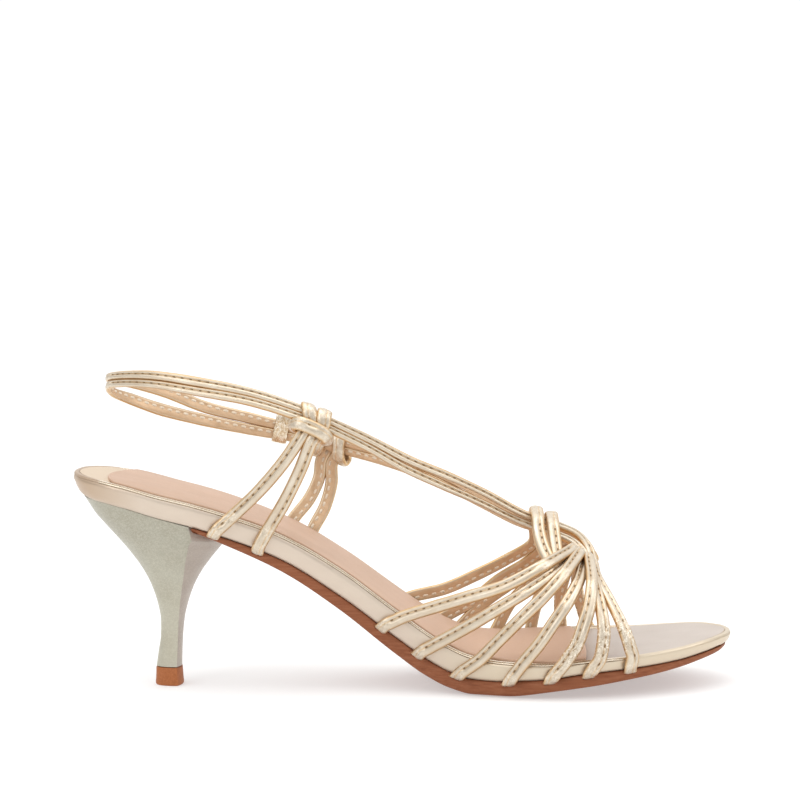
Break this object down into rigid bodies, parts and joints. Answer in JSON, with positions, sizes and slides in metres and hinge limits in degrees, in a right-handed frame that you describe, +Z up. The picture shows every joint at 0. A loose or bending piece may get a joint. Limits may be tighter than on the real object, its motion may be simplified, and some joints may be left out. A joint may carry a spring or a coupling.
{
  "type": "heeled sandal",
  "caption": "Open sandal on a slim kitten heel, with narrow metallic straps fanned over the toes and knotted, and a looped strap round the ankle.",
  "frame": {"origin": "centre of the heel tip's flat underside, on the floor", "axes": "+X from the heel to the toe, +Y to the shoe's outer side, +Z up"},
  "size_m": [0.237, 0.0848, 0.1164],
  "materials": {
    "straps": "crinkled metallic gold foil",
    "rand": "smooth satin metallic gold",
    "sock": "matt soft lining leather",
    "outsole": "stained, lightly buffed",
    "heel_cover": "fine-grained metallic foil",
    "heel_tip": "matt",
    "keeper": "metallic gold foil"
  },
  "bodies": {
    "root": {"upper": "straps", "footbed": "rand", "insole": "sock", "outsole": "outsole", "heel": "heel_cover", "top_piece": "heel_tip", "keeper": "keeper"}
  },
  "joints": []
}
